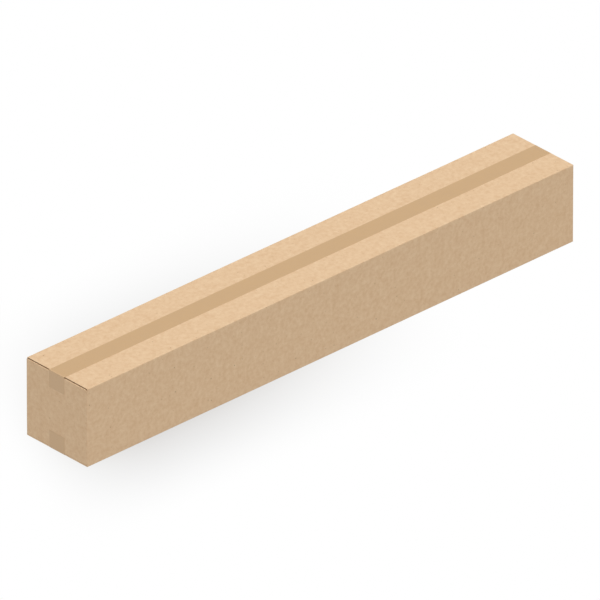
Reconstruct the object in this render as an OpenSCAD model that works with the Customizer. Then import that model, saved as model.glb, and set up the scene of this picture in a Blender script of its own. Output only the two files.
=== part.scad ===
// Long corrugated shipping carton, closed and taped shut.
// One die-cut blank makes the four walls, the eight flaps and the glue lap. The outer flaps
// fold in from the long walls and meet over the middle, above inner flaps that fold in from
// the end walls. The flutes run up the walls and across the flaps, so the ends of the outer
// flaps are cut along the flutes and gape between their two liners.
// One strip of tape closes the seam on top and another the seam underneath, and each is
// turned over both ends.
// X runs along the length, Y across and Z up. The origin is the middle of the underside.

/* [Carton] */
// Length over the end walls
carton_l = 1500; // [600:10:2400]
// Width over the side walls
carton_w = 200; // [140:5:400]
// Height over the closed flaps
carton_h = 200; // [140:5:400]

/* [Board] */
// Thickness of the corrugated board
board_t = 3; // [1.5:0.5:5]
// Thickness of the liner on each face of the board
liner_t = 0.4; // [0.2:0.05:0.6]
// Depth to which a cut along the flutes gapes between the liners
gape = 2; // [0.5:0.5:4]
// Radius on the inside of every fold
fold_r = 0.6; // [0.3:0.1:1.5]
// Radius on the outside of a fold, where the liner is pulled tight over the crushed crease
crease_r = 1.2; // [0.8:0.1:1.8]
// The same for the folds at the top and bottom of the end walls, squared up by the outer flaps
end_crease_r = 0.5; // [0.3:0.1:1.2]

/* [Flaps] */
// Distance from the -X end wall's face back to the cut ends of the top outer flaps
near_setback = 2.25; // [0.25:0.25:4]
// The same at the +X end, towards which closing the box has slid the top flaps
far_setback = 0.5; // [0.25:0.25:4]
// The same for the bottom outer flaps, at both ends
bottom_setback = 0.5; // [0.25:0.25:4]
// Width of the slit where two outer flaps meet
seam_slit = 1; // [0.5:0.25:4]
// Play between an inner flap and the outer flaps that cover it
flap_play = 0.4; // [0.2:0.1:1.5]
// Distance from a corner fold to the edge of the inner flap beside it
slot_play = 1; // [0.5:0.5:6]

/* [Glue lap] */
// Width of the lap, from the end wall's face
lap_w = 35; // [20:1:60]
// Angle at which the ends of the lap are cut back
lap_taper = 15; // [5:1:30]
// How far the lap is cut short of the wall's folds
lap_relief = 1; // [0.5:0.5:5]
// Distance from the lap's fold to the cut edge of the wall glued over it
joint_gap = 1.5; // [0.5:0.5:5]

/* [Tape] */
// Width of the tape
tape_w = 50; // [36:1:75]
// Thickness of the tape
tape_t = 0.05; // [0.04:0.01:0.2]
// Length of tape turned over each end, from the corner
tape_tab = 45; // [20:1:65]
// Distance between the teeth of the cut ends
tooth_pitch = 2.5; // [1.5:0.25:5]
// Depth of the teeth
tooth_h = 1.2; // [0.5:0.1:2.5]

/* [Hidden] */
$fn = 64;

BOARD = "#D8B78F";
TAPE = "#CBA97E";

// Distance from the outer face of a wall to where the inside of a fold starts
fold_reach = fold_r + board_t;
// Depth of all eight flaps, from the face of the wall that carries them to the seam
flap_l = (carton_w - seam_slit) / 2;
// Setbacks of the outer flaps at the -X and +X ends
top_setbacks = [near_setback, far_setback];
bottom_setbacks = [bottom_setback, bottom_setback];
// How much lower the end walls fold than the side walls, to let the outer flaps lie on top
end_drop = board_t + flap_play;
// Height above the middle at which the end walls start to fold, on their inside
shoulder_z = carton_h / 2 - end_drop - fold_reach;
// Height above the middle to which the slots at the corners are cut, where the end walls start
// to fold on their outside
slot_z = carton_h / 2 - end_drop - end_crease_r;
// Width of the inner flaps, between the slots
inner_flap_w = carton_w - 2 * (fold_reach + slot_play);
// Level of the carton's middle when it stands on its bottom tape
middle_z = carton_h / 2 + tape_t;
tooth_count = round(tape_w / tooth_pitch);

// Rectangle with rounded corners
module rounded_rect(size, r) {
    square([size.x - 2 * r, size.y], center = true);
    square([size.x, size.y - 2 * r], center = true);
    for (x = [-1, 1], y = [-1, 1])
        translate([x * (size.x / 2 - r), y * (size.y / 2 - r)])
            circle(r);
}

// Sheet of thickness t bent round the inside of a rectangle, with the radii of each bend
module bent_sheet(size, t, inner_r, outer_r)
    difference() {
        rounded_rect(size, outer_r);
        rounded_rect([size.x - 2 * t, size.y - 2 * t], inner_r);
    }

// Board bent round the inside of a rectangle, or what is left of it under a skin on each face
module bent_board(size, skin = 0)
    bent_sheet(
        [size.x - 2 * skin, size.y - 2 * skin],
        board_t - 2 * skin,
        fold_r + skin,
        crease_r - skin
    );

// Lays a profile in the plane across the length, and extrudes it along the length
module along_x(length)
    rotate([90, 0, 90])
        linear_extrude(length, center = true)
            children();

// Lays a profile in the plane along the length, and extrudes it across the width
module along_y(width)
    rotate([90, 0, 0])
        linear_extrude(width, center = true)
            children();

// The four walls up to the slots, open at the corner where the blank's ends meet
module walls() {
    cut_x = carton_l / 2 - crease_r - joint_gap;
    linear_extrude(2 * slot_z, center = true)
        difference() {
            bent_board([carton_l, carton_w]);
            translate([carton_l / 2 - fold_reach, carton_w / 2 - board_t - fold_reach])
                square([carton_l, fold_reach]);
            translate([cut_x, carton_w / 2 - board_t])
                square([carton_l, carton_w]);
            translate([cut_x - gape, carton_w / 2 - board_t + liner_t])
                square([2 * gape, board_t - 2 * liner_t]);
        }
}

// The end wall's fold at the open corner, and the lap glued inside the side wall
module glue_lap() {
    lap_l = lap_w - fold_reach;
    fold_end = shoulder_z - lap_relief;
    free_end = fold_end - lap_l * tan(lap_taper);
    linear_extrude(2 * fold_end, center = true)
        intersection() {
            bent_board([carton_l, carton_w - 2 * board_t]);
            translate([carton_l / 2 - fold_reach, carton_w / 2 - board_t - fold_reach])
                square([carton_l, carton_w]);
        }
    translate([carton_l / 2 - fold_reach, carton_w / 2 - board_t, 0])
        rotate([90, 0, 0])
            linear_extrude(board_t)
                polygon([
                    [0, -fold_end],
                    [0, fold_end],
                    [-lap_l, free_end],
                    [-lap_l, -free_end]
                ]);
}

// Section of a side wall's top flap: the wall's last strip, its fold and the flap to the seam
module outer_flap_section(skin = 0)
    intersection() {
        bent_board([carton_w, carton_h], skin);
        translate([carton_w / 2 - flap_l, slot_z])
            square([flap_l, carton_h]);
    }

// Top flap of one side wall, gaping at both ends
module outer_flap(setbacks) {
    length = carton_l - setbacks[0] - setbacks[1];
    translate([(setbacks[0] - setbacks[1]) / 2, 0, 0])
        difference() {
            along_x(length)
                outer_flap_section();
            for (end = [-1, 1])
                translate([end * length / 2, 0, 0])
                    along_x(2 * gape)
                        outer_flap_section(liner_t);
        }
}

// Top flap of one end wall: its fold, and the flap that lies under the outer flaps
module inner_flap()
    along_y(inner_flap_w)
        intersection() {
            bent_sheet([carton_l, carton_h - 2 * end_drop], board_t, fold_r, end_crease_r);
            translate([carton_l / 2 - flap_l, shoulder_z])
                square([flap_l, carton_h]);
        }

// The folded blank, standing on the bottom tape
module carton()
    color(BOARD)
        translate([0, 0, middle_z]) {
            walls();
            glue_lap();
            for (under = [0, 1])
                mirror([0, 0, under]) {
                    for (side = [0, 1])
                        mirror([0, side, 0])
                            outer_flap(under ? bottom_setbacks : top_setbacks);
                    for (end = [0, 1])
                        mirror([end, 0, 0])
                            inner_flap();
                }
        }

// Everything below the saw-tooth line that the dispenser's blade leaves
module below_teeth()
    polygon([
        [-carton_w, -carton_h],
        for (i = [0 : 2 * tooth_count])
            [tape_w * (i / tooth_count - 1) / 2, tooth_h * (i % 2)],
        [carton_w, -carton_h]
    ]);

// Strip of tape along the top seam, with a tab turned down over each end wall. It clears the
// cut ends of the flaps that lie least far back, so it turns in that distance to the wall's face
module tape_strip(setback)
    difference() {
        along_y(tape_w)
            intersection() {
                bent_sheet(
                    [carton_l + 2 * tape_t, carton_h + 2 * tape_t],
                    tape_t,
                    setback,
                    setback + tape_t
                );
                translate([-carton_l, carton_h / 2 - tape_tab])
                    square([2 * carton_l, carton_h]);
            }
        along_x(2 * carton_l)
            translate([0, carton_h / 2 - tape_tab])
                below_teeth();
    }

module top_tape()
    color(TAPE)
        translate([0, 0, middle_z])
            tape_strip(min(top_setbacks));

module bottom_tape()
    color(TAPE)
        translate([0, 0, middle_z])
            mirror([0, 0, 1])
                tape_strip(min(bottom_setbacks));

carton();
top_tape();
bottom_tape();
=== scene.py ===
# %% [markdown]
# # A long cardboard box
# The box is one sheet of corrugated board, cut, creased and folded, and closed with two strips
# of packing tape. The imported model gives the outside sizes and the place; this lesson makes the
# folded sheet and the tape as finely as the eye can follow, gives them their paper and film
# finishes, and lights them softly on a white floor.

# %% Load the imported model
import math

import bmesh
import bpy
from mathutils import Matrix, Vector, noise


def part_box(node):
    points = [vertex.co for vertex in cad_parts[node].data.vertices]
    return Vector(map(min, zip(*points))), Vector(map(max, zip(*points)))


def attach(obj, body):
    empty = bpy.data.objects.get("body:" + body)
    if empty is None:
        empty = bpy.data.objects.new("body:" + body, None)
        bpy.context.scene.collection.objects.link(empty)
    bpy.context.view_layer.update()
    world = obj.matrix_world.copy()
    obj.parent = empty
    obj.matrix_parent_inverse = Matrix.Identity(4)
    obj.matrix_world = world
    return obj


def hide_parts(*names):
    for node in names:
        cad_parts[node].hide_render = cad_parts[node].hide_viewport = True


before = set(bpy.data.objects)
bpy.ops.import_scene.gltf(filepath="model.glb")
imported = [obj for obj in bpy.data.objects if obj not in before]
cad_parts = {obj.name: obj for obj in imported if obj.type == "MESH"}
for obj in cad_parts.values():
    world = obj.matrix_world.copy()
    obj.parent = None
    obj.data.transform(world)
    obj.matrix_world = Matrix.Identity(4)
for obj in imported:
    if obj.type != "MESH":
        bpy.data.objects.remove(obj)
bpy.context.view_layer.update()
print("nodes:", sorted(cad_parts))

# %% [markdown]
# ## Sizes
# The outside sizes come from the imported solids, so nothing here can drift from them. The small
# sizes of the board and its creases are the ones that the box maker works to. The creases that
# turn the end walls into their flaps are tighter than the rest, because the outer flaps press
# them square.

# %% Sizes
MM = 0.001

carton_low, carton_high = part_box("carton")
tape_low, tape_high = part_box("top_tape")
LENGTH, WIDTH, HEIGHT = carton_high - carton_low
MIDDLE_Z = (carton_low.z + carton_high.z) / 2
TAPE_WIDTH = tape_high.y - tape_low.y
TAPE_TAB = tape_high.z - tape_low.z

BOARD = 3 * MM
LINER = 0.4 * MM
CREASE = 1.2 * MM
END_CREASE = 0.5 * MM
CREASE_INSIDE = 0.6 * MM
FOLD_REACH = BOARD + CREASE_INSIDE
NEAR_SETBACK = 2.25 * MM
FAR_SETBACK = 0.5 * MM
BOTTOM_SETBACK = 0.5 * MM
SEAM_SLIT = 1 * MM
FLAP_PLAY = 0.4 * MM
END_DROP = BOARD + FLAP_PLAY
SLOT_PLAY = 1 * MM
LAP_WIDTH = 35 * MM
LAP_RELIEF = 1 * MM
JOINT_GAP = 1.5 * MM

print("carton %.1f x %.1f x %.1f mm" % tuple(size / MM for size in (LENGTH, WIDTH, HEIGHT)))
print("tape %.1f mm wide, tabs %.1f mm" % (TAPE_WIDTH / MM, TAPE_TAB / MM))

# %% [markdown]
# ## Camera
# The picture has no vanishing points: edges that are parallel on the box stay parallel in it.
# An orthographic camera would do that, but it would crop the box from its long side. A very
# long lens a long way off is as good as parallel, and it still frames the box from any side.

# %% Camera
PICTURE = 600
VIEW_AZIMUTH = math.radians(-43.07)
VIEW_ELEVATION = math.radians(29.665)
LENS = 1600
SENSOR = 36
CAMERA_DISTANCE = 60.11
FRAMING_SHIFT = (-1.77 / PICTURE, -0.98 / PICTURE)

towards_camera = Vector((
    math.sin(VIEW_AZIMUTH) * math.cos(VIEW_ELEVATION),
    -math.cos(VIEW_AZIMUTH) * math.cos(VIEW_ELEVATION),
    math.sin(VIEW_ELEVATION),
))
carton_centre = (carton_low + carton_high) / 2

camera_data = bpy.data.cameras.new("camera")
camera_data.lens = LENS
camera_data.sensor_width = SENSOR
camera_data.shift_x, camera_data.shift_y = FRAMING_SHIFT
camera_data.clip_end = 2 * CAMERA_DISTANCE
camera = bpy.data.objects.new("camera", camera_data)
camera.location = carton_centre + towards_camera * CAMERA_DISTANCE
camera.rotation_euler = (-towards_camera).to_track_quat("-Z", "Y").to_euler()
bpy.context.collection.objects.link(camera)
bpy.context.scene.camera = camera
print("camera at", [round(value, 2) for value in camera.location])

# %% [markdown]
# ## Shader sums
# Every finish below is a sum of patterns. Written as nodes that is a long list; written as
# Python it reads like the formula. A Wire holds one output socket, and adding or multiplying
# wires makes the Math nodes.

# %% Wires
class Wire:
    """An output socket of a node tree, with arithmetic."""

    def __init__(self, tree, socket=None):
        self.tree = tree
        self.socket = socket

    def add(self, kind, settings=(), sockets=(), output=0):
        """Adds a node: its settings first, then the values or links of its sockets."""
        node = self.tree.nodes.new("ShaderNode" + kind)
        for name, value in dict(settings).items():
            setattr(node, name, value)
        for name, value in dict(sockets).items():
            if isinstance(value, Wire):
                self.tree.links.new(value.socket, node.inputs[name])
            else:
                node.inputs[name].default_value = value
        return Wire(self.tree, node.outputs[output] if node.outputs else None)

    def also(self, output):
        """Another output of the same node."""
        return Wire(self.tree, self.socket.node.outputs[output])

    def math(self, operation, *values):
        return self.add("Math", {"operation": operation}, enumerate(values))

    def __add__(self, other):
        return self.math("ADD", self, other)

    def __sub__(self, other):
        return self.math("SUBTRACT", self, other)

    def __rsub__(self, other):
        return self.math("SUBTRACT", other, self)

    def __mul__(self, other):
        return self.math("MULTIPLY", self, other)

    def __truediv__(self, other):
        return self.math("DIVIDE", self, other)

    def __lt__(self, other):
        return self.math("LESS_THAN", self, other)

    def __abs__(self):
        return self.math("ABSOLUTE", self)

    __radd__ = __add__
    __rmul__ = __mul__

    def rises(self, start, end):
        """Goes smoothly from 0 to 1 between two values of this wire."""
        limits = {"Value": self, "From Min": start, "From Max": end}
        return self.add("MapRange", {"interpolation_type": "SMOOTHSTEP"}, limits)

    def swells(self, start, full, still_full, end):
        """Rises from 0 to 1 between the first two values, and falls between the last two."""
        return self.rises(start, full) * (1 - self.rises(still_full, end))

    def times(self, colour):
        """A colour times this number."""
        return self.add("VectorMath", {"operation": "SCALE"}, {0: colour, "Scale": self})

    def towards(self, colour, share):
        """This colour mixed towards another by a share."""
        return self.add("Mix", {"data_type": "RGBA"}, {0: share, 6: self, 7: colour}, output=2)


def new_material(name):
    """A material with an empty tree, and a wire to start from."""
    material = bpy.data.materials.new(name)
    material.use_nodes = True
    material.node_tree.nodes.clear()
    return material, Wire(material.node_tree)


def surface(start, shader):
    """Ends a tree in its output."""
    start.add("OutputMaterial", {}, {"Surface": shader})


print("wires ready")

# %% [markdown]
# ## From bmesh to object
# Each piece below is shaped in a bmesh and ends here. Its faces are shaded smooth, and an edge
# stays sharp only where the faces beside it turn by more than a single step of a crease.

# %% Finished pieces
SHARP_TURN = math.radians(32)


def finished(name, shape, materials):
    """An object at the origin from a bmesh, with its materials in order."""
    mesh = bpy.data.meshes.new(name)
    shape.to_mesh(mesh)
    shape.free()
    for material in materials:
        mesh.materials.append(material)
    mesh.shade_smooth()
    mesh.set_sharp_from_angle(angle=SHARP_TURN)
    piece = bpy.data.objects.new(name, mesh)
    bpy.context.collection.objects.link(piece)
    mesh.calc_loop_triangles()
    print(name, "has", len(mesh.loop_triangles), "triangles")
    return piece


print("edges that turn more than %.0f degrees stay sharp" % math.degrees(SHARP_TURN))

# %% [markdown]
# ## Floor
# The box stands in a light tent, on a floor that must come out white and still carry a soft
# shadow. Where the lens or a reflection sees the floor, it is white paper lit from within, and
# around the near half of the box a share of it is darker grey matt paper in a soft window: a
# painted shadow, on which the real shadow of the box also shows. For the light that bounces on
# to the box it is one more wall of the tent.

# %% Floor
TENT_LIGHT = 0.72
LAMP_LIGHT = 0.44
FLOOR_RADIUS = 12
FLOOR_CORNERS = 96
FLOOR_DROP = 0.25 * MM
# The window of painted shadow on the floor: its slant, its reach along and across, its share and
# the grey of its paper.
SHADOW_SLANT = 0.47
SHADOW_ALONG = (-0.88, -0.49, -0.41, 0.46)
SHADOW_ACROSS = (-0.39, 0.13, -0.16, 0.59)
SHADOW_SHARE = 0.72
SHADOW_TONE = 0.46


def seen_share(start):
    """1 for rays from the lens and for reflections, 0 for light that bounces softly."""
    lens = start.add("LightPath", {}, {}, output="Is Camera Ray")
    seen = start.math("MAXIMUM", lens, lens.also("Is Glossy Ray"))
    return start.math("MAXIMUM", seen, lens.also("Is Transmission Ray"))


def floor_paper():
    """White paper, with a painted soft shadow and the real one around the near half of the box."""
    material, start = new_material("floor_paper")
    ground = start.add("TexCoord", {}, {}, output="Object")
    across = start.add("SeparateXYZ", {}, {"Vector": ground}, output="Y")
    along = across.also("X") - SHADOW_SLANT * across
    share = SHADOW_SHARE * along.swells(*SHADOW_ALONG) * across.swells(*SHADOW_ACROSS)
    glow = start.add("Emission", {}, {"Strength": 1.0})
    # Painted shadow: inside the window the paper is grey, darker than white even where no shadow
    # falls.
    painted_shadow_grey = SHADOW_TONE / (TENT_LIGHT + LAMP_LIGHT)
    paper = start.add("BsdfDiffuse", {}, {"Color": (painted_shadow_grey, painted_shadow_grey, painted_shadow_grey, 1)})
    looks = start.add("MixShader", {}, {0: share, 1: glow, 2: paper})
    bounce = start.add("Emission", {}, {"Strength": TENT_LIGHT})
    surface(start, start.add("MixShader", {}, {0: seen_share(start), 1: bounce, 2: looks}))
    return material


floor_shape = bmesh.new()
bmesh.ops.create_circle(floor_shape, cap_ends=True, radius=FLOOR_RADIUS, segments=FLOOR_CORNERS)
bmesh.ops.translate(floor_shape, verts=floor_shape.verts, vec=(0, 0, -FLOOR_DROP))
floor = finished("floor", floor_shape, [floor_paper()])

# %% [markdown]
# ## Light
# The tent gives soft white light from all round, and a wide soft lamp above makes the top the
# palest face. The tent's walls look white, but they light the box less than that, which leaves
# room for the lamp. A wide sun delivers less than its strength says, so the strength is raised
# to make up for it.

# %% Light
LAMP_SPREAD = math.radians(50)
LAMP_LEAN = Vector((-0.086, -0.214, 1.0))

lamp_data = bpy.data.lights.new("overhead_lamp", "SUN")
lamp_data.energy = LAMP_LIGHT * math.pi / math.cos(LAMP_SPREAD / 2) ** 2
lamp_data.angle = LAMP_SPREAD
lamp = bpy.data.objects.new("overhead_lamp", lamp_data)
lamp.rotation_euler = (-LAMP_LEAN).to_track_quat("-Z", "Y").to_euler()
bpy.context.collection.objects.link(lamp)

tent = bpy.data.worlds.new("light_tent")
tent.use_nodes = True
tent.node_tree.nodes.clear()
bpy.context.scene.world = tent
tent_wall = Wire(tent.node_tree)
tent_light = TENT_LIGHT + (1 - TENT_LIGHT) * seen_share(tent_wall)
tent_glow = tent_wall.add("Background", {}, {"Strength": tent_light})
tent_wall.add("OutputWorld", {}, {"Surface": tent_glow})
bpy.context.scene.view_settings.view_transform = "Standard"
print("tent light %.2f, lamp light %.2f" % (TENT_LIGHT, LAMP_LIGHT))

# %% [markdown]
# ## Patterns in paper
# Paper and film share two patterns. One is cloudy noise. The other is scattered flecks: a
# Voronoi texture gives the distance to the nearest of many scattered points, and a point gets
# a fleck, large or small, by the luck of its cell's colour. Both are drawn on the flat sheet,
# through its UV map, and can be stretched and turned to follow the fibres.

# %% Patterns in paper
NOISE_ROUGHNESS = 0.6
SMALLEST_FLECK = 0.4
FLECK_CORE = 0.4


def laid(sheet, stretch, turn):
    """The flat sheet's coordinates, stretched and turned for one pattern."""
    place = {"Vector": sheet, "Rotation": (0, 0, turn), "Scale": (*stretch, 1)}
    return sheet.add("Mapping", {}, place)


def paper_noise(sheet, per_metre, stretch=(1, 1), turn=0.0, detail=3.0):
    """Cloudy noise about 0 on the flat sheet, finer the more there are of it to a metre."""
    cloud = {
        "Vector": laid(sheet, stretch, turn),
        "Scale": per_metre,
        "Detail": detail,
        "Roughness": NOISE_ROUGHNESS,
    }
    return sheet.add("TexNoise", {"noise_dimensions": "2D"}, cloud) - 0.5


def flecks(sheet, per_metre, size, share, stretch=(1, 1), turn=0.0):
    """Scattered flecks: 1 inside one and 0 outside. Only a share of the cells holds one."""
    cells = {"Vector": laid(sheet, stretch, turn), "Scale": per_metre}
    away = sheet.add("TexVoronoi", {"voronoi_dimensions": "2D"}, cells, output="Distance")
    luck = sheet.add("SeparateColor", {}, {"Color": away.also("Color")}, output="Red")
    growth = SMALLEST_FLECK + (1 - SMALLEST_FLECK) * luck.also("Green")
    reach = size * per_metre * growth
    return (1 - (away / reach).rises(FLECK_CORE, 1.0)) * (luck < share)


print("noise and flecks ready")

# %% [markdown]
# ## Kraft board
# The outer liner is unbleached paper: a warm brown that clouds a little where the pulp lay
# thicker, with a mottled grain, fibres that lean along the machine's direction, a few pale
# hairs, and dark flecks of bark, from rare large ones to fine dust. The flutes under it show as
# the faintest ripple, partly as a bump and partly as painted shade in the colour. Uneven pulp
# is lighter or darker by nearly as much in all three colours, so its shade is added to the
# brown, together with the ripple's painted shade. The pattern is in metres on the flat sheet,
# so the paper turns round every fold as the real one does.

# %% Kraft board
BLANK_MAP = "blank"
KRAFT = (0.714, 0.500, 0.308)
PULP = (0.50, 0.55, 0.45)
BARK = (0.20, 0.12, 0.07, 1)
PALE_FIBRE = (0.84, 0.66, 0.47, 1)
PALE_CLOUDS = (-0.05, 0.15)
HAIRLINE = 0.012
FLUTE_PITCH = 6.5 * MM


def kraft_board():
    """Unbleached liner on corrugated board."""
    material, start = new_material("kraft_board")
    sheet = start.add("UVMap", {"uv_map": BLANK_MAP})
    clouds = paper_noise(sheet, per_metre=35)
    mottle = paper_noise(sheet, per_metre=95, detail=2)
    grain = paper_noise(sheet, per_metre=520)
    fibres = paper_noise(sheet, per_metre=300, stretch=(0.5, 5), turn=0.25)
    across = paper_noise(sheet, per_metre=300, stretch=(5, 0.6), turn=-0.4)
    veins = abs(paper_noise(sheet, per_metre=90, stretch=(1, 2), detail=1))
    hairs = 1 - veins.rises(0.0, HAIRLINE)
    along = start.add("SeparateXYZ", {}, {"Vector": sheet}, output="X")
    flutes = start.math("COSINE", along * (2 * math.pi / FLUTE_PITCH))

    shade = 0.14 * clouds + 0.28 * mottle + 0.12 * grain + 0.13 * fibres + 0.09 * across
    # Painted shade: the flutes' ripple lightens and darkens the colour a little, besides its bump.
    shade = shade + 0.003 * flutes
    paper = start.add("VectorMath", {"operation": "ADD"}, {0: KRAFT, 1: shade.times(PULP)})
    paper = paper.towards(PALE_FIBRE, 0.18 * hairs * clouds.rises(*PALE_CLOUDS))
    bark = flecks(sheet, per_metre=16, size=2.2 * MM, share=0.3)
    chips = flecks(sheet, per_metre=28, size=1.9 * MM, share=0.5)
    slivers = flecks(sheet, per_metre=45, size=1.6 * MM, share=0.3, stretch=(1, 3), turn=0.7)
    dust = flecks(sheet, per_metre=110, size=0.6 * MM, share=0.4)
    for kind, depth in ((bark, 0.60), (chips, 0.35), (slivers, 0.20), (dust, 0.28)):
        paper = paper.towards(BARK, depth * kind)

    relief = 0.5 * grain + 0.5 * fibres + 0.3 * mottle + 0.04 * flutes
    bump = start.add("Bump", {}, {"Strength": 0.35, "Distance": 0.1 * MM, "Height": relief})
    shader = {
        "Base Color": paper,
        "Roughness": 0.86 + 0.25 * mottle,
        "Specular IOR Level": 0.25,
        "Normal": bump,
    }
    surface(start, start.add("BsdfPrincipled", {}, shader))
    return material


kraft = kraft_board()
print("kraft_board:", len(kraft.node_tree.nodes), "nodes")

# %% [markdown]
# ## Flute paper
# Where the board is cut along its flutes, the two liners gape and the rougher paper of the
# wave shows between them. It is darker pulp, torn and dusty, and its colour is darker still
# with painted shade that stands in for the hollow flutes, which are not modelled. Deep in the
# gap it also sees little light.

# %% Flute paper
# Partly the medium's own darker pulp, partly painted shade of the open flutes, which are not
# modelled.
FLUTE = (0.37, 0.24, 0.14)


def flute_paper():
    """The wave's paper at a cut edge: darker pulp and painted shade of the hollow flutes."""
    material, start = new_material("flute_paper")
    sheet = start.add("UVMap", {"uv_map": BLANK_MAP})
    torn = paper_noise(sheet, per_metre=240, detail=5)
    # Painted shade as well as pulp: the dark colour of the cut edge.
    pulp_and_painted_shade = (1 + 0.9 * torn).times(FLUTE)
    bump = start.add("Bump", {}, {"Strength": 0.6, "Distance": 0.4 * MM, "Height": torn})
    shader = {"Base Color": pulp_and_painted_shade, "Roughness": 0.95, "Specular IOR Level": 0.1, "Normal": bump}
    surface(start, start.add("BsdfPrincipled", {}, shader))
    return material


flute = flute_paper()
print("flute_paper:", len(flute.node_tree.nodes), "nodes")

# %% [markdown]
# ## Lines of the blank
# The carton could be put together from twelve separate slabs, but a real one is a single sheet,
# and it looks like one: the paper runs on round every corner and the flaps share their folds
# with the walls. So the mesh starts as the box maker's flat blank, a grid whose lines lie where
# the creases and cuts will be. From the left it has the back wall, the near end, the front
# wall, the far end and the glue lap. A crease is a narrow band of lines, which will bend a
# little at each one.

# %% Lines of the blank
STRIDE = 15 * MM
CREASE_STEPS = 6
RUN_PER_RADIUS = 2 * CREASE_STEPS * math.sin(math.pi / 4 / CREASE_STEPS)
CREASE_RUN = CREASE * RUN_PER_RADIUS
END_CREASE_RUN = END_CREASE * RUN_PER_RADIUS
STRIP = FOLD_REACH - CREASE + SLOT_PLAY
SIDE_SHOULDER = HEIGHT / 2 - CREASE
END_SHOULDER = HEIGHT / 2 - END_DROP - END_CREASE
FLAP_REACH = (WIDTH - SEAM_SLIT) / 2
FLAP_RUN = FLAP_REACH - CREASE
END_FLAP_EDGE = END_SHOULDER + END_CREASE_RUN + FLAP_REACH - END_CREASE
LAP_EDGE = HEIGHT / 2 - END_DROP - FOLD_REACH - LAP_RELIEF

WALLS = {
    "back": LENGTH - 2 * CREASE - JOINT_GAP,
    "near_end": WIDTH - 2 * CREASE,
    "front": LENGTH - 2 * CREASE,
    "far_end": WIDTH - 2 * CREASE - BOARD,
    "lap": LAP_WIDTH - CREASE,
}


def stops(start, *runs):
    """Places after a start, along runs that each have a length and a number of steps."""
    places = [start]
    for length, steps in runs:
        first = places[-1]
        places += [first + length * step / steps for step in range(1, steps + 1)]
    return places[1:]


def wall_runs(flat):
    """A flat wall with a narrow strip along each crease."""
    inner = flat - 2 * STRIP
    return (STRIP, 1), (inner, round(inner / STRIDE)), (STRIP, 1)


columns = [CREASE - LENGTH / 2 - 2 * CREASE_RUN - WALLS["near_end"] - WALLS["back"]]
SPAN = {}
for wall, flat in WALLS.items():
    SPAN[wall] = (columns[-1], columns[-1] + flat)
    columns += stops(columns[-1], *wall_runs(flat))
    if wall != "lap":
        columns += stops(columns[-1], (CREASE_RUN, CREASE_STEPS))

half_rows = {0.0, END_SHOULDER, SIDE_SHOULDER, END_FLAP_EDGE}
half_rows.update(stops(0.0, (LAP_EDGE, round(LAP_EDGE / STRIDE))))
half_rows.update(stops(END_SHOULDER, (END_CREASE_RUN, CREASE_STEPS)))
flap_runs = [(STRIP, 1), (FLAP_RUN - STRIP, round(FLAP_RUN / STRIDE))]
half_rows.update(stops(SIDE_SHOULDER, (CREASE_RUN, CREASE_STEPS), *flap_runs))
rows = sorted(half_rows | {-row for row in half_rows})
print(len(columns), "lines along the blank and", len(rows), "up it")

# %% [markdown]
# ## The flat blank
# The grid operator makes the sheet with even steps, and each point then moves to its lines. The
# front wall lies where it will stay. Every point keeps its place on the flat sheet in two
# layers, because the cuts, the folds and the paper's map are all measured there.

# %% The flat blank
blank = bmesh.new()
flat_u = blank.verts.layers.float.new("flat_u")
flat_v = blank.verts.layers.float.new("flat_v")
across, up = len(columns) - 1, len(rows) - 1
bmesh.ops.create_grid(blank, x_segments=across, y_segments=up, size=1)
for vert in blank.verts:
    vert[flat_u] = columns[round((vert.co.x + 1) / 2 * across)]
    vert[flat_v] = rows[round((vert.co.y + 1) / 2 * up)]
    vert.co = (vert[flat_u], -WIDTH / 2, MIDDLE_Z + vert[flat_v])
print("blank %.0f x %.0f mm" % ((columns[-1] - columns[0]) / MM, (rows[-1] - rows[0]) / MM))

# %% [markdown]
# ## Slots
# The die cuts a slot at every corner, so that each flap can turn by itself, trims the end flaps
# to their depth, and tapers the glue lap so that it slips inside the back wall.

# %% Slots
LAP_TAPER = math.tan(math.radians(15))


def within(wall, u, margin=0.0):
    """Whether a place along the blank is on a wall, at least a margin from its creases."""
    return SPAN[wall][0] + margin < u < SPAN[wall][1] - margin


def is_waste(u, height):
    """Whether the die cuts this part of the sheet away."""
    if within("front", u) or within("back", u):
        return False
    if within("near_end", u, STRIP) or within("far_end", u, STRIP):
        return height > END_FLAP_EDGE
    if u > SPAN["far_end"][1]:
        return height > LAP_EDGE
    return height > END_SHOULDER


waste = []
for face in blank.faces:
    middle = face.calc_center_median()
    if is_waste(middle.x, abs(middle.z - MIDDLE_Z)):
        waste.append(face)
bmesh.ops.delete(blank, geom=waste, context="FACES")

for vert in blank.verts:
    if vert[flat_u] > SPAN["lap"][0]:
        cut_back = (vert[flat_u] - SPAN["lap"][0]) * LAP_TAPER
        vert[flat_v] *= 1 - cut_back / LAP_EDGE
        vert.co.z = MIDDLE_Z + vert[flat_v]
print(len(waste), "faces cut away,", len(blank.faces), "left")

# %% [markdown]
# ## Crowded lines
# The grid's lines run right across the sheet, so next to a crease some belong only to the crease
# of another wall. The inside of the fold has no room for those, and they are dissolved.

# %% Crowded lines
HAIR = 0.001 * MM


def flap_crease(u):
    """The height at which a wall starts to fold into its flap, the fold's radius and its run."""
    if within("near_end", u, HAIR) or within("far_end", u, HAIR):
        return END_SHOULDER, END_CREASE, END_CREASE_RUN
    return SIDE_SHOULDER, CREASE, CREASE_RUN


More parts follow.
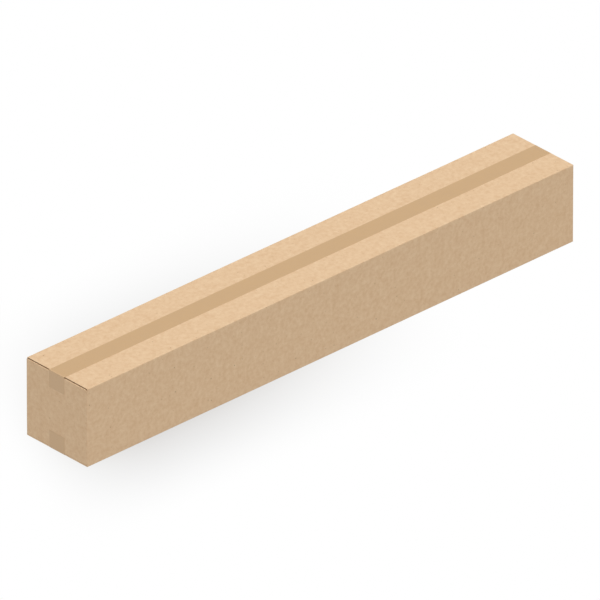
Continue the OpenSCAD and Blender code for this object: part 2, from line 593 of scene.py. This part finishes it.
def crowds(edge):
    """Whether a line of the grid lies beside its wall's own crease, too close to fold with it."""
    first, second = edge.verts
    height = abs(first[flat_v])
    middle = (first[flat_u] + second[flat_u]) / 2
    if abs(abs(second[flat_v]) - height) > HAIR or middle > SPAN["far_end"][1]:
        return False
    shoulder, radius, run = flap_crease(middle)
    clear = FOLD_REACH - radius
    past = height - shoulder
    return -clear < past < -HAIR or HAIR < past - run < clear


crowding = [edge for edge in blank.edges if crowds(edge)]
bmesh.ops.dissolve_edges(blank, edges=crowding, use_verts=True)
print(len(crowding), "edges dissolved")

# %% [markdown]
# ## Folding
# A crease turns a right angle in a few equal steps, with half a step at each end, so its lines
# lie on the arc that the board really takes. What lies past a line turns about it. The farthest
# line goes first: then every axis is still where it was on the flat sheet. The flaps fold
# first, and then the walls, from the outermost crease inwards. What lies on a crease's first
# line stays with the wall before it, and what lies on its last goes with the wall after it.

# %% Folding
RIGHT_ANGLE = math.pi / 2


def fold(members, layer, line, outwards, run, axis, turn):
    """Bends the sheet at a crease that starts at a line and runs outwards from it."""
    for step in range(CREASE_STEPS, -1, -1):
        place = line + outwards * run * step / CREASE_STEPS
        share = 0.5 if step in (0, CREASE_STEPS) else 1.0
        hinge = (place, -WIDTH / 2, 0) if axis == "Z" else (0, -WIDTH / 2, MIDDLE_Z + place)
        margin = HAIR if step == 0 else -HAIR
        beyond = [vert for vert in members if outwards * (vert[layer] - place) > margin]
        bend = Matrix.Rotation(share * turn / CREASE_STEPS, 3, axis)
        bmesh.ops.rotate(blank, verts=beyond, cent=hinge, matrix=bend)


for wall in ("front", "back", "near_end", "far_end"):
    shoulder, radius, run = flap_crease(sum(SPAN[wall]) / 2)
    panel = [vert for vert in blank.verts if within(wall, vert[flat_u], -HAIR)]
    for side in (-1, 1):
        fold(panel, flat_v, side * shoulder, side, run, "X", -side * RIGHT_ANGLE)

for line, outwards in (
    (SPAN["far_end"][1], 1),
    (SPAN["front"][1], 1),
    (SPAN["near_end"][0], -1),
    (SPAN["front"][0], -1),
):
    fold(blank.verts, flat_u, line, outwards, CREASE_RUN, "Z", outwards * RIGHT_ANGLE)

low = [min(vert.co[axis] for vert in blank.verts) for axis in range(3)]
high = [max(vert.co[axis] for vert in blank.verts) for axis in range(3)]
print("folded box %.2f x %.2f x %.2f mm" % tuple((b - a) / MM for a, b in zip(low, high)))

# %% [markdown]
# ## Flap ends
# The outer flaps stop a little short of the end walls' faces, most of all at the near end of
# the top, so their cut ends are trimmed to there. Then the sheet gets its map: the place of
# each point on the flat sheet, in metres.

# %% Flap ends
TOP_ENDS = (NEAR_SETBACK - LENGTH / 2, LENGTH / 2 - FAR_SETBACK)
BOTTOM_ENDS = (BOTTOM_SETBACK - LENGTH / 2, LENGTH / 2 - BOTTOM_SETBACK)
flap_edges = SPAN["front"] + SPAN["back"]
trimmed = 0

for vert in blank.verts:
    at_edge = any(abs(vert[flat_u] - place) < HAIR for place in flap_edges)
    if at_edge and abs(vert[flat_v]) > END_SHOULDER + HAIR:
        flap_ends = TOP_ENDS if vert[flat_v] > 0 else BOTTOM_ENDS
        trim = flap_ends[vert.co.x > 0] - vert.co.x
        vert[flat_u] += trim if vert.co.y < 0 else -trim
        vert.co.x += trim
        trimmed += 1

sheet_map = blank.loops.layers.uv.new(BLANK_MAP)
for face in blank.faces:
    for loop in face.loops:
        loop[sheet_map].uv = (loop.vert[flat_u], loop.vert[flat_v])
print(trimmed, "points on the flaps' ends moved to their cuts")

# %% [markdown]
# ## Thickness
# The sheet gets its thickness inwards from the outer liner. A crease is crushed, and so it is
# tighter outside than the board is thick. Solidify would throw its inner points past each
# other, so they are put where they belong: on the same curve, drawn out or in to the inner
# radius, and moved in by the board's thickness from both faces. A point and its copy inside
# still share their place on the flat sheet, and that is how they are paired.

# %% Thickness
CORNERS = (("back", "near_end"), ("near_end", "front"), ("front", "far_end"))


def crease_faces(u, height):
    """The crease at a place on the sheet: its radius, and how far out its faces are on two axes."""
    shoulder, radius, run = flap_crease(u)
    if -HAIR < height - shoulder < run + HAIR:
        if radius == CREASE:
            return radius, {1: WIDTH / 2, 2: HEIGHT / 2}
        return radius, {0: LENGTH / 2, 2: HEIGHT / 2 - END_DROP}
    if height > END_SHOULDER + HAIR:
        return CREASE, {}
    if any(SPAN[one][1] - HAIR < u < SPAN[other][0] + HAIR for one, other in CORNERS):
        return CREASE, {0: LENGTH / 2, 1: WIDTH / 2}
    if SPAN["far_end"][1] - HAIR < u < SPAN["lap"][0] + HAIR:
        return CREASE, {0: LENGTH / 2, 1: WIDTH / 2 - BOARD}
    return CREASE, {}


outer_liner = {(vert[flat_u], vert[flat_v]): vert for vert in blank.verts}
bmesh.ops.solidify(blank, geom=blank.faces[:], thickness=BOARD)
for vert in blank.verts:
    outer = outer_liner[(vert[flat_u], vert[flat_v])]
    if vert == outer:
        continue
    radius, faces = crease_faces(vert[flat_u], abs(vert[flat_v]))
    for axis, reach in faces.items():
        side = math.copysign(1, outer.co[axis] - carton_centre[axis])
        face = carton_centre[axis] + side * reach
        drawn = (outer.co[axis] - face) * CREASE_INSIDE / radius
        vert.co[axis] = face + drawn - side * BOARD
print("board volume %.0f cm3" % (blank.calc_volume(signed=True) * 1e6))

# %% [markdown]
# ## Gaping edges
# The ends of the outer flaps and the glued edge of the back wall are cut along the flutes. Each
# such edge is inset by the thickness of a liner, and what is left between the liners is pushed
# in and gets the flute paper. The crease crushes the flutes, so a flap gapes only past it, and
# under the box's own weight the bottom flaps have closed again.

# %% Gaping edges
GAPE_DEPTH = 2 * MM
GAPE_TAPER = 0.05 * MM
JOINT_EDGE = LENGTH / 2 - CREASE - JOINT_GAP


def gape(faces):
    """Opens a cut edge between its two liners."""
    region = {"faces": faces, "use_even_offset": True, "use_boundary": True}
    bmesh.ops.inset_region(blank, thickness=LINER, depth=0, **region)
    sides = bmesh.ops.inset_region(blank, thickness=GAPE_TAPER, depth=-GAPE_DEPTH, **region)
    for face in faces + sides["faces"]:
        face.material_index = 1


def at_top_end(face):
    """Whether a face is on the cut end of a top flap, past its crease."""
    middle = face.calc_center_median()
    end = TOP_ENDS[middle.x > 0]
    past_crease = all(abs(vert.co.y) < WIDTH / 2 - CREASE + HAIR for vert in face.verts)
    at_end = all(abs(vert.co.x - end) < HAIR for vert in face.verts)
    return middle.z > MIDDLE_Z and past_crease and at_end


def at_joint(face):
    """Whether a face is on the edge of the back wall that is glued over the lap."""
    on_wall = face.calc_center_median().y > WIDTH / 2 - BOARD
    return on_wall and all(abs(vert.co.x - JOINT_EDGE) < HAIR for vert in face.verts)


flap_cuts = [face for face in blank.faces if at_top_end(face)]
joint_cuts = [face for face in blank.faces if at_joint(face)]
print(len(flap_cuts), "faces on the flaps' ends and", len(joint_cuts), "on the joint gape")
gape(flap_cuts)
gape(joint_cuts)

# %% [markdown]
# ## Not quite flat
# Board bows and ripples by a fraction of a millimetre. One field of smooth noise moves every
# piece, so that the tape stays on the board, and it dies away at the floor, where the box's
# own weight has pressed it flat. The noise has a seed, so it is the same on each run.

# %% Not quite flat
STRAY = 0.35 * MM
STRAY_PER_METRE = 4.0
STRAY_SEED = 7
FLOOR_HOLD = 40 * MM

noise.seed_set(STRAY_SEED)


def settle(shape):
    """Moves a shape's points by the shared field."""
    for vert in shape.verts:
        free = min(1.0, max(0.0, (vert.co.z - carton_low.z) / FLOOR_HOLD))
        vert.co += noise.noise_vector(vert.co * STRAY_PER_METRE) * STRAY * free


settle(blank)
carton = finished("folded_carton", blank, [kraft, flute])
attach(carton, "root")
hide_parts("carton")

# %% [markdown]
# ## Packing tape
# The tape is a thin plastic film, coloured buff by its adhesive, so it has a clear satin gloss
# over a smooth colour. The gun that laid it left hairline streaks along its length. The tabs that
# turn down over the ends are painted paler than the tape on top, and the paler colour starts a
# few millimetres before the turn: painted light on the tabs and along the turn.

# %% Packing tape
STRIP_MAP = "strip"
BUFF = (0.534, 0.331, 0.149)
# Painted light: the paler colour of the tabs, and where along the strip it starts and is full.
PAINTED_LIGHT_TAB = (0.571, 0.364, 0.180, 1)
PAINTED_LIGHT_FROM = LENGTH / 2 - 5 * MM
PAINTED_LIGHT_FULL = LENGTH / 2 - MM
FILM_GLOSS = 1.7


def buff_tape():
    """Buff film: smooth colour, fine lengthwise streaks, satin gloss, painted light on the tabs."""
    material, start = new_material("buff_tape")
    strip = start.add("UVMap", {"uv_map": STRIP_MAP})
    streaks = paper_noise(strip, per_metre=900, stretch=(0.004, 1))
    haze = paper_noise(strip, per_metre=30)
    along = abs(start.add("SeparateXYZ", {}, {"Vector": strip}, output="X"))
    film = (1 + 0.06 * streaks + 0.05 * haze).times(BUFF)
    # Painted light: the tabs and the last few millimetres before the turn are painted paler.
    film = film.towards(PAINTED_LIGHT_TAB, along.rises(PAINTED_LIGHT_FROM, PAINTED_LIGHT_FULL))
    bump = start.add("Bump", {}, {"Strength": 0.15, "Distance": 0.05 * MM, "Height": streaks})
    shader = {
        "Base Color": film,
        "Roughness": 0.36 + 0.15 * haze,
        "IOR": FILM_GLOSS,
        "Normal": bump,
    }
    surface(start, start.add("BsdfPrincipled", {}, shader))
    return material


buff = buff_tape()
print("buff_tape:", len(buff.node_tree.nodes), "nodes")

# %% [markdown]
# ## A flat strip
# A strip of tape starts as a flat grid, cut to teeth at both ends by the gun's blade. The film
# is drawn a little thicker than it is, so that it stays clear of the board from any distance.

# %% A flat strip
FILM = 0.12 * MM
FILM_LIFT = 0.03 * MM
FILM_TOP = carton_high.z + FILM_LIFT + FILM
TAPE_TURN = 0.5 * MM
BEND_STEPS = 4
BEND_START = LENGTH / 2 - TAPE_TURN
BEND_RADIUS = TAPE_TURN + FILM_LIFT + FILM
BEND_RUN = 2 * BEND_STEPS * BEND_RADIUS * math.sin(math.pi / 4 / BEND_STEPS)
TOOTH_PITCH = 2.5 * MM
TOOTH_DEPTH = 1.2 * MM
TAPE_STRIDE = 6 * MM

teeth = round(TAPE_WIDTH / TOOTH_PITCH)


def flat_strip():
    """The strip before it is laid, with its ends cut to teeth and its map in metres."""
    tab_run = carton_high.z - TAPE_TURN - tape_low.z
    tab = (tab_run, round(tab_run / TAPE_STRIDE))
    bend = (BEND_RUN, BEND_STEPS)
    top = (2 * BEND_START, round(2 * BEND_START / TAPE_STRIDE))
    start = -BEND_START - BEND_RUN - tab_run
    places = [start, *stops(start, tab, bend, top, bend, tab)]
    strip = bmesh.new()
    steps = len(places) - 1
    bmesh.ops.create_grid(strip, x_segments=steps, y_segments=2 * teeth, size=1)
    strip_map = strip.loops.layers.uv.new(STRIP_MAP)
    for vert in strip.verts:
        step = round((vert.co.x + 1) / 2 * steps)
        tooth = round((vert.co.y + 1) * teeth)
        vert.co.x = places[step]
        vert.co.y *= TAPE_WIDTH / 2
        if step in (0, steps) and tooth % 2:
            vert.co.x -= math.copysign(TOOTH_DEPTH, vert.co.x)
        vert.co.z = FILM_TOP
    for face in strip.faces:
        for loop in face.loops:
            loop[strip_map].uv = loop.vert.co.xy
    return strip


print("a strip's ends have", teeth, "teeth")

# %% [markdown]
# ## Laying the strips
# Each strip bends down over the ends in the same way as the board, and gets the thickness of
# film and adhesive. It sinks a hair into the slit between the flaps, and a few bubbles of air
# lift it elsewhere. The bottom strip is the same shape, turned over about the length of the box.

# %% Laying the strips
SEAM_DIP = 0.04 * MM
BUBBLE = 0.10 * MM
BUBBLE_START = 0.25
BUBBLES_ALONG = 25
BUBBLES_ACROSS = 60


def bend_over_ends(strip):
    """Bends both ends of a strip down over the box."""
    flat_x = {vert: vert.co.x for vert in strip.verts}
    for side in (-1, 1):
        for step in range(BEND_STEPS, -1, -1):
            place = BEND_START + BEND_RUN * step / BEND_STEPS
            share = 0.5 if step in (0, BEND_STEPS) else 1.0
            beyond = [vert for vert in strip.verts if side * flat_x[vert] > place + HAIR]
            hinge = (side * place, 0, FILM_TOP)
            bend = Matrix.Rotation(side * share * RIGHT_ANGLE / BEND_STEPS, 3, "Y")
            bmesh.ops.rotate(strip, verts=beyond, cent=hinge, matrix=bend)


def lift_film(strip, seed):
    """Raises bubbles of air under a strip, and sinks its middle line into the slit."""
    strip.normal_update()
    for vert in strip.verts:
        x, y, z = vert.co
        place = (x * BUBBLES_ALONG, y * BUBBLES_ACROSS, seed + z * BUBBLES_ACROSS)
        swell = noise.noise(Vector(place))
        dip = SEAM_DIP if abs(y) < HAIR else 0.0
        vert.co += vert.normal * (BUBBLE * max(0.0, swell - BUBBLE_START) - dip)


def lay_strip(name, turned_over, seed):
    """Lays a strip over the top of the box, and turns it under the box if need be."""
    strip = flat_strip()
    bend_over_ends(strip)
    lift_film(strip, seed)
    bmesh.ops.solidify(strip, geom=strip.faces[:], thickness=FILM)
    if turned_over:
        turn = Matrix.Rotation(math.pi, 3, "X")
        bmesh.ops.rotate(strip, verts=strip.verts, cent=(0, 0, MIDDLE_Z), matrix=turn)
    settle(strip)
    tape = finished(name + "_strip", strip, [buff])
    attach(tape, "root")
    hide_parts(name)
    return tape


top_tape = lay_strip("top_tape", turned_over=False, seed=3.0)
bottom_tape = lay_strip("bottom_tape", turned_over=True, seed=11.0)
